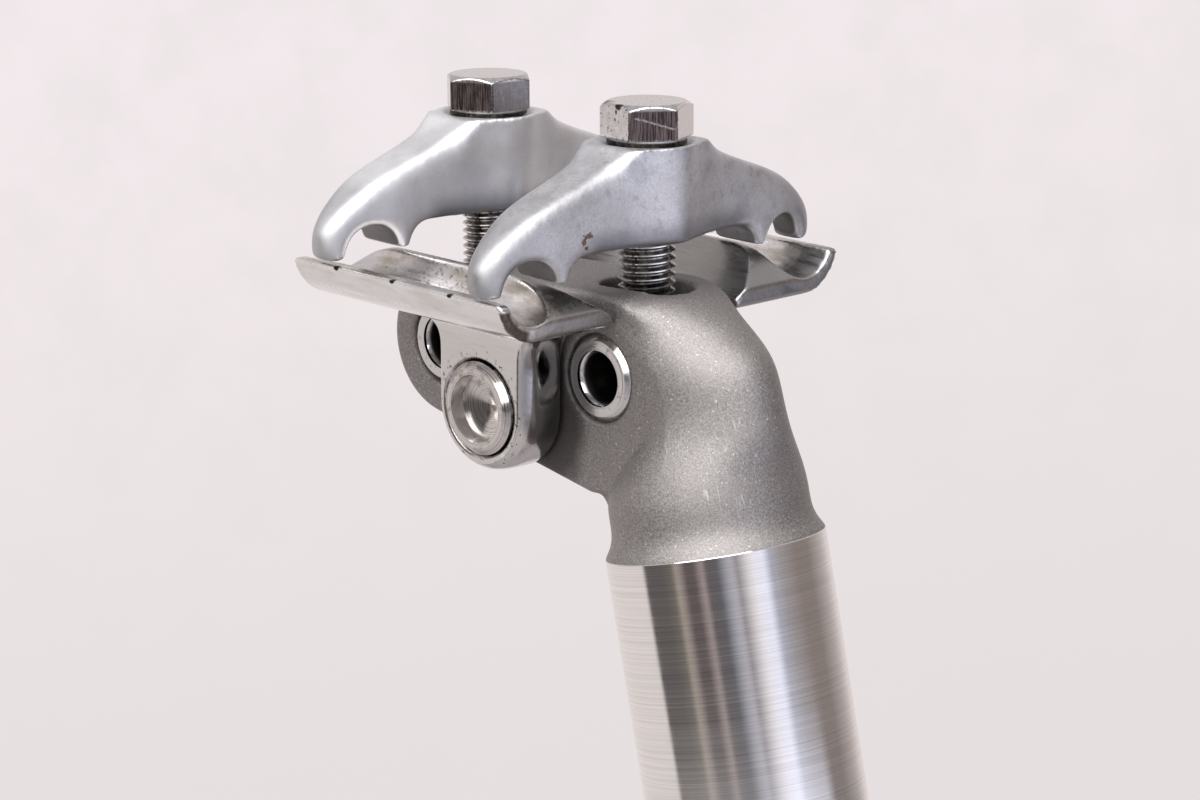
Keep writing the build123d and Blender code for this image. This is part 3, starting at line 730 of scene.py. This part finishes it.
# Painted shade: the washer is made near black
tone = mix_colour(tree, between(tree, haze, 0.4, 0.7), WASHER_DARK, WASHER_GREY)
height = split(tree, saddle_place(tree, place))[2]
# Painted highlight along the thin rim under the bolt head
tone = tinted(tree, tone, WASHER_RIM_HIGHLIGHT, between(tree, height, 33.75 * MM, 34.0 * MM), 0.85)
link_finish(tree, shader, tone, between(tree, haze, 0.3, 0.7, to_low=0.3, to_high=0.55))
for end in ("front", "rear"):
    dress(end + "_washer", washer_steel)


# Bolts: chromed hex-headed steel bolts with a fine rolled thread, each screwed into its barrel nut.
# Spanners have scratched the heads, and on some of their flats the plating has worn through to brown steel.
BOLT_ANGLE = math.radians(13)
BOLT_AXIS = Vector((math.sin(BOLT_ANGLE), 0, math.cos(BOLT_ANGLE)))
BOLT_END = -6.7 * MM
SEATS = {"front": 28.758 * MM, "rear": 29.254 * MM}
PITCH = 1.0 * MM
CREST = 3.5 * MM
ROOT = 2.9 * MM
THREAD_POINT = 0.6 * MM
HEX_FLAT_MM = 5.0
STEPS_PER_TURN = 48
PLATE_GREY = (0.56, 0.545, 0.55, 1)
PLATE_PALE = (0.70, 0.685, 0.695, 1)
PLATE_FILED = (0.36, 0.34, 0.345, 1)
PLATE_SPECK = (0.10, 0.085, 0.08, 1)
PLATE_HIGHLIGHT = (0.93, 0.91, 0.91, 1)
BARE_DARK = (0.04, 0.03, 0.03, 1)
BARE_BROWN = (0.19, 0.155, 0.153, 1)
HEAD_EDGE_HIGHLIGHT = (0.85, 0.83, 0.82, 1)
THREAD_DARK = (0.20, 0.19, 0.19, 1)
THREAD_GREY = (0.40, 0.385, 0.38, 1)
CREST_HIGHLIGHT = (0.72, 0.7, 0.69, 1)
FLAKE_BROWN = (0.045, 0.03, 0.026, 1)
CUT_PALE = (0.6, 0.57, 0.56, 1)


def rolled_thread(low, high):
    """Threaded rod about the upright axis between two heights, pointed at its lower end."""
    rod = bmesh.new()
    groove = [(ROOT, 0.0), (CREST, 0.36), (CREST, 0.5), (ROOT, 0.86), (ROOT, 1.0)]
    verts = [rod.verts.new((radius, 0, low - PITCH + share * PITCH)) for radius, share in groove]
    edges = [rod.edges.new(pair) for pair in zip(verts, verts[1:])]
    turns = math.ceil((high - low) / PITCH) + 2
    climb = (0, 0, PITCH / STEPS_PER_TURN)
    bmesh.ops.spin(
        rod, geom=verts + edges, cent=(0, 0, 0), axis=UP, dvec=climb,
        angle=turns * math.tau, steps=turns * STEPS_PER_TURN)
    bmesh.ops.remove_doubles(rod, verts=rod.verts, dist=0.01 * MM)
    cut_above(rod, (0, 0, low), UP)
    cut_above(rod, (0, 0, high), (0, 0, -1))
    for vert in rod.verts:
        widest = CREST - THREAD_POINT + vert.co.z - low
        radius = math.hypot(vert.co.x, vert.co.y)
        if radius > widest:
            vert.co.x *= widest / radius
            vert.co.y *= widest / radius
    bmesh.ops.recalc_face_normals(rod, faces=rod.faces)
    return rod


def on_flat(tree, bolt, haze, degrees, amount):
    """Mask of the flat of a hex head that faces the given heading, with a ragged rim."""
    heading = (math.cos(math.radians(degrees)) / MM, math.sin(math.radians(degrees)) / MM, 0)
    outward = vector_node(tree, "DOT_PRODUCT", bolt, heading)["Value"]
    edge = math_node(tree, "MULTIPLY_ADD", math_node(tree, "SUBTRACT", haze, 0.5), 0.5, outward)
    return between(tree, edge, HEX_FLAT_MM - 0.3, HEX_FLAT_MM - 0.14, to_high=amount)


def front_marks(tree, bolt, tone):
    """Flakes of lost plating on the front bolt's head, and a long cut across one flat."""
    flakes = [
        ((-3.1, -3.8, 33.0), (1.3, 0.75, 0.5)),
        ((0.2, -4.9, 32.85), (0.62, 0.6, 0.5)),
        ((-4.2, -4.0, 32.4), (0.5, 0.5, 0.5)),
        ((-0.2, -5.0, 32.1), (0.2, 0.4, 0.3)),
        ((-4.6, -4.3, 31.5), (0.3, 0.4, 0.25)),
        ((-0.4, -5.0, 31.2), (0.16, 0.4, 0.22)),
    ]
    tone = spots(tree, bolt, tone, FLAKE_BROWN, flakes, ragged=0.3, scale=1600.0)
    cut_start = Vector((2.88, -4.54, 31.6))
    cut_end = Vector((5.43, -1.03, 30.29))
    cut_spots = 12
    shares = [step / (cut_spots - 1) for step in range(cut_spots)]
    cut = [(cut_start.lerp(cut_end, share), (0.3, 0.4, 0.1)) for share in shares]
    return spots(tree, bolt, tone, CUT_PALE, cut, ragged=0.8, scale=3600.0, strength=0.5)


def worn_chrome(end, bare_flats, highlit_flats, speckle):
    """Plated bolt steel, bare on some flats and painted bright as a highlight on others: heading in degrees
    and how much.
    """
    material, tree, shader, place = new_metal("worn_bolt_chrome_" + end)
    inputs = {"Vector": place, "Location": NUTS[end], "Rotation": (0, BOLT_ANGLE, 0)}
    bolt = add_node(tree, "ShaderNodeMapping", inputs, vector_type="TEXTURE").outputs[0]
    ahead, across, up = split(tree, bolt)
    seat = SEATS[end]
    in_head = between(tree, up, seat - 0.2 * MM, seat + 0.1 * MM)
    below_top = between(tree, up, seat + 3.95 * MM, seat + 3.55 * MM)
    edge_and_hollow = use_group(tree, edge_light_and_hollow, {"Reach": 0.06})
    haze = noise(tree, bolt, 1300.0, detail=4.0, roughness=0.65)
    speck = noise(tree, bolt, 2600.0, detail=3.0, roughness=0.65)
    files = noise(tree, bolt, 1.0, detail=3.0, roughness=0.7, stretch=(5200.0, 5200.0, 260.0))
    plated = mix_colour(tree, between(tree, haze, 0.3, 0.7), PLATE_GREY, PLATE_PALE)
    plated = tinted(tree, plated, PLATE_FILED, between(tree, files, 0.55, 0.72), 0.4)
    plated = tinted(tree, plated, PLATE_SPECK, between(tree, speck, 0.58, 0.66), speckle)
    # Painted highlight on the flats that face the given headings
    for degrees, amount in highlit_flats:
        plated = tinted(tree, plated, PLATE_HIGHLIGHT, on_flat(tree, bolt, haze, degrees, amount))
    bare = 0.0
    for degrees, amount in bare_flats:
        bare = math_node(tree, "MAXIMUM", bare, on_flat(tree, bolt, haze, degrees, amount))
    bare = product(tree, bare, below_top, in_head)
    steel = mix_colour(tree, between(tree, files, 0.38, 0.64), BARE_DARK, BARE_BROWN)
    head_tone = tinted(tree, plated, steel, bare)
    # Painted highlight on the sharp edges of the bolt head
    head_tone = tinted(tree, head_tone, HEAD_EDGE_HIGHLIGHT, edge_and_hollow["Edge"], 0.45)
    thread_tone = mix_colour(tree, between(tree, haze, 0.35, 0.65), THREAD_DARK, THREAD_GREY)
    # Painted highlight along the thread crests
    crest_highlight = between(tree, hypotenuse(tree, ahead, across), 3.3 * MM, 3.46 * MM)
    thread_tone = tinted(tree, thread_tone, CREST_HIGHLIGHT, crest_highlight)
    tone = mix_colour(tree, in_head, thread_tone, head_tone)
    if end == "front":
        tone = front_marks(tree, bolt, tone)
    shine = between(tree, haze, 0.3, 0.7, to_low=0.12, to_high=0.26)
    shine = math_node(tree, "MULTIPLY_ADD", bare, 0.2, shine)
    link_finish(tree, shader, tone, shine)
    add_bump(tree, shader, product(tree, bare, files), strength=0.5, distance=0.06 * MM)
    return material


bolt_finishes = {
    "front": worn_chrome("front", [(-36.0, 1.0)], [(24.0, 0.75)], speckle=0.85),
    "rear": worn_chrome("rear", [(-67.5, 1.0), (-7.5, 0.62)], [], speckle=0.25),
}
for end, bolt_chrome in bolt_finishes.items():
    hex_head = merged_mesh(end + "_bolt")
    centre = Vector(NUTS[end])
    cut_above(hex_head, centre + BOLT_AXIS * (SEATS[end] - 0.02 * MM), BOLT_AXIS)
    bolt_mesh = forged_skin(hex_head, voxel=0.12 * MM, rounds=2)
    rod = rolled_thread(BOLT_END, SEATS[end] + 1.0 * MM)
    stand = Matrix.Translation(centre) @ Matrix.Rotation(BOLT_ANGLE, 4, "Y")
    bmesh.ops.transform(rod, matrix=stand, verts=rod.verts)
    shank = bpy.data.meshes.new("shank")
    rod.to_mesh(shank)
    rod.free()
    bolt_mesh.from_mesh(shank)
    bpy.data.meshes.remove(shank)
    piece = new_piece(end + "_bolt_steel", bolt_mesh, bolt_chrome)
    piece.data.set_sharp_from_angle(angle=math.radians(40))
    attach(piece, end + "_screw")
    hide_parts(end + "_bolt")


# Floor: plain pale disc under the post that fades out into the surroundings.
FLOOR_COLOUR = (0.42, 0.392, 0.394, 1)
FLOOR_RADIUS = 1.2
FADE_START = 0.12
FADE_END = 0.38
floor_mesh = bmesh.new()
bmesh.ops.create_circle(floor_mesh, cap_ends=True, segments=96, radius=FLOOR_RADIUS)
floor_paint = bpy.data.materials.new("pale_floor")
floor_paint.use_nodes = True
tree = floor_paint.node_tree
shader = tree.nodes["Principled BSDF"]
shader.inputs["Base Color"].default_value = FLOOR_COLOUR
shader.inputs["Roughness"].default_value = 0.8
place = add_node(tree, "ShaderNodeTexCoord").outputs["Object"]
distance = vector_node(tree, "LENGTH", place)["Value"]
clear = add_node(tree, "ShaderNodeBsdfTransparent").outputs[0]
faded = between(tree, distance, FADE_START, FADE_END)
fade = add_node(tree, "ShaderNodeMixShader", {0: faded, 1: shader.outputs[0], 2: clear})
tree.links.new(fade.outputs[0], tree.nodes["Material Output"].inputs["Surface"])
floor = new_piece("floor", floor_mesh, floor_paint)


# Soft lamp: one broad lamp above the camera's left, which lights the nose of the head and every upper edge.
VIEW_HEADING = math.radians(-42.7)
LAMP_HEADING = VIEW_HEADING - math.radians(8)
LAMP_RISE = math.radians(45)
LIT_POINT = Vector((0, 0, 0.2))
lamp_data = bpy.data.lights.new("soft_lamp", "AREA")
lamp_data.shape = "DISK"
lamp_data.size = 1.8
lamp_data.energy = 25.0
lamp = bpy.data.objects.new("soft_lamp", lamp_data)
bpy.context.scene.collection.objects.link(lamp)
level = math.cos(LAMP_RISE)
lamp_way = Vector((math.cos(LAMP_HEADING) * level, math.sin(LAMP_HEADING) * level, math.sin(LAMP_RISE)))
lamp_turn = lamp_way.to_track_quat("Z", "Y").to_matrix().to_4x4()
lamp.matrix_world = Matrix.Translation(LIT_POINT + lamp_way) @ lamp_turn


# Surroundings: a pale backdrop behind and to the left, a dim room with a few bright gaps round the camera,
# and a tall window to the camera's right. The camera itself sees only the pale backdrop.
CEILING_GREY = (0.6, 0.575, 0.575, 1)
GROUND_GREY = (0.36, 0.35, 0.37, 1)
BACKDROP_LOW = (0.79, 0.735, 0.74, 1)
BACKDROP_HIGH = (0.89, 0.825, 0.84, 1)
BACKDROP_MOTTLE = (0.80, 0.745, 0.755, 1)
world = bpy.data.worlds.new("studio")
bpy.context.scene.world = world
world.use_nodes = True
tree = world.node_tree
backdrop = tree.nodes["Background"]
heading = add_node(tree, "ShaderNodeTexCoord").outputs["Generated"]
ahead, across, up = split(tree, heading)
angle = math_node(tree, "ARCTAN2", across, ahead)
round_room = math_node(tree, "MULTIPLY_ADD", angle, 1 / math.tau, 1.5 - VIEW_HEADING / math.tau)
round_room = math_node(tree, "FRACT", round_room)


def room_ramp(stops):
    """Colour round the room by the angle from the camera's heading, from -180 to 180 degrees."""
    ramp = add_node(tree, "ShaderNodeValToRGB", {0: round_room})
    elements = ramp.color_ramp.elements
    for degrees, colour in stops[1:-1]:
        elements.new((degrees + 180) / 360)
    for element, (degrees, colour) in zip(elements, stops):
        element.color = (*colour, 1)
    return ramp.outputs[0]


walls = room_ramp([
    (-180, (0.83, 0.77, 0.75)), (-87, (0.82, 0.76, 0.74)), (-83, (0.13, 0.115, 0.115)),
    (-62, (0.13, 0.12, 0.115)), (-52, (0.18, 0.16, 0.14)), (-47, (0.42, 0.37, 0.32)),
    (-43, (0.34, 0.29, 0.27)), (-37, (0.13, 0.105, 0.11)), (-28, (0.13, 0.105, 0.105)),
    (-20, (0.40, 0.34, 0.33)), (-15, (0.14, 0.12, 0.125)), (-4, (0.13, 0.13, 0.145)),
    (6, (0.45, 0.45, 0.5)), (11, (0.52, 0.5, 0.55)), (16, (0.33, 0.31, 0.33)),
    (27, (0.85, 0.81, 0.83)), (33, (1.0, 0.98, 1.06)), (44, (0.98, 1.0, 1.18)),
    (52, (0.48, 0.49, 0.58)), (64, (0.38, 0.355, 0.365)), (85, (0.28, 0.235, 0.215)),
    (104, (0.28, 0.24, 0.225)), (128, (0.5, 0.45, 0.44)), (150, (0.78, 0.71, 0.7)),
    (180, (0.83, 0.77, 0.75)),
])
ground = room_ramp([
    (-180, (0.8, 0.75, 0.74)), (-70, (0.72, 0.68, 0.67)), (0, (0.45, 0.44, 0.46)),
    (45, (1.4, 1.42, 1.66)), (78, (1.4, 1.42, 1.66)), (89, (0.24, 0.235, 0.26)),
    (125, (0.26, 0.25, 0.26)), (150, (0.72, 0.68, 0.67)), (180, (0.8, 0.75, 0.74)),
])
room = mix_colour(tree, between(tree, up, 0.3, 0.6), walls, CEILING_GREY)
room = mix_colour(tree, between(tree, up, -0.2, -0.36), room, ground)
room = mix_colour(tree, between(tree, up, -0.46, -0.62), room, GROUND_GREY)
mottle = noise(tree, heading, 40.0, detail=3.0, roughness=0.6)
pale = mix_colour(tree, between(tree, up, -0.22, 0.08), BACKDROP_LOW, BACKDROP_HIGH)
pale = tinted(tree, pale, BACKDROP_MOTTLE, between(tree, mottle, 0.35, 0.7), 0.4)
light_path = add_node(tree, "ShaderNodeLightPath")
seen = mix_colour(tree, light_path.outputs["Is Camera Ray"], room, pale)
tree.links.new(seen, backdrop.inputs["Color"])
backdrop.inputs["Strength"].default_value = 1.0


# Camera: at the photograph's viewing angle, level with the head and rolled a little.
CAMERA_PLACE = (0.2768, -0.2705, 0.2294)
CAMERA_TURN = math.radians(47.3)
CAMERA_DIP = math.radians(4.44)
CAMERA_ROLL = math.radians(-9.23)
camera_data = bpy.data.cameras.new("camera")
camera_data.sensor_width = 36
camera_data.lens = 96
camera_data.clip_start = 0.01
camera = bpy.data.objects.new("camera", camera_data)
bpy.context.scene.collection.objects.link(camera)
turn = Matrix.Rotation(CAMERA_TURN, 3, "Z")
nod = Matrix.Rotation(math.radians(90) - CAMERA_DIP, 3, "X")
roll = Matrix.Rotation(CAMERA_ROLL, 3, "Z")
camera.matrix_world = Matrix.Translation(CAMERA_PLACE) @ (turn @ nod @ roll).to_4x4()
bpy.context.scene.camera = camera
bpy.context.scene.view_settings.view_transform = "Standard"
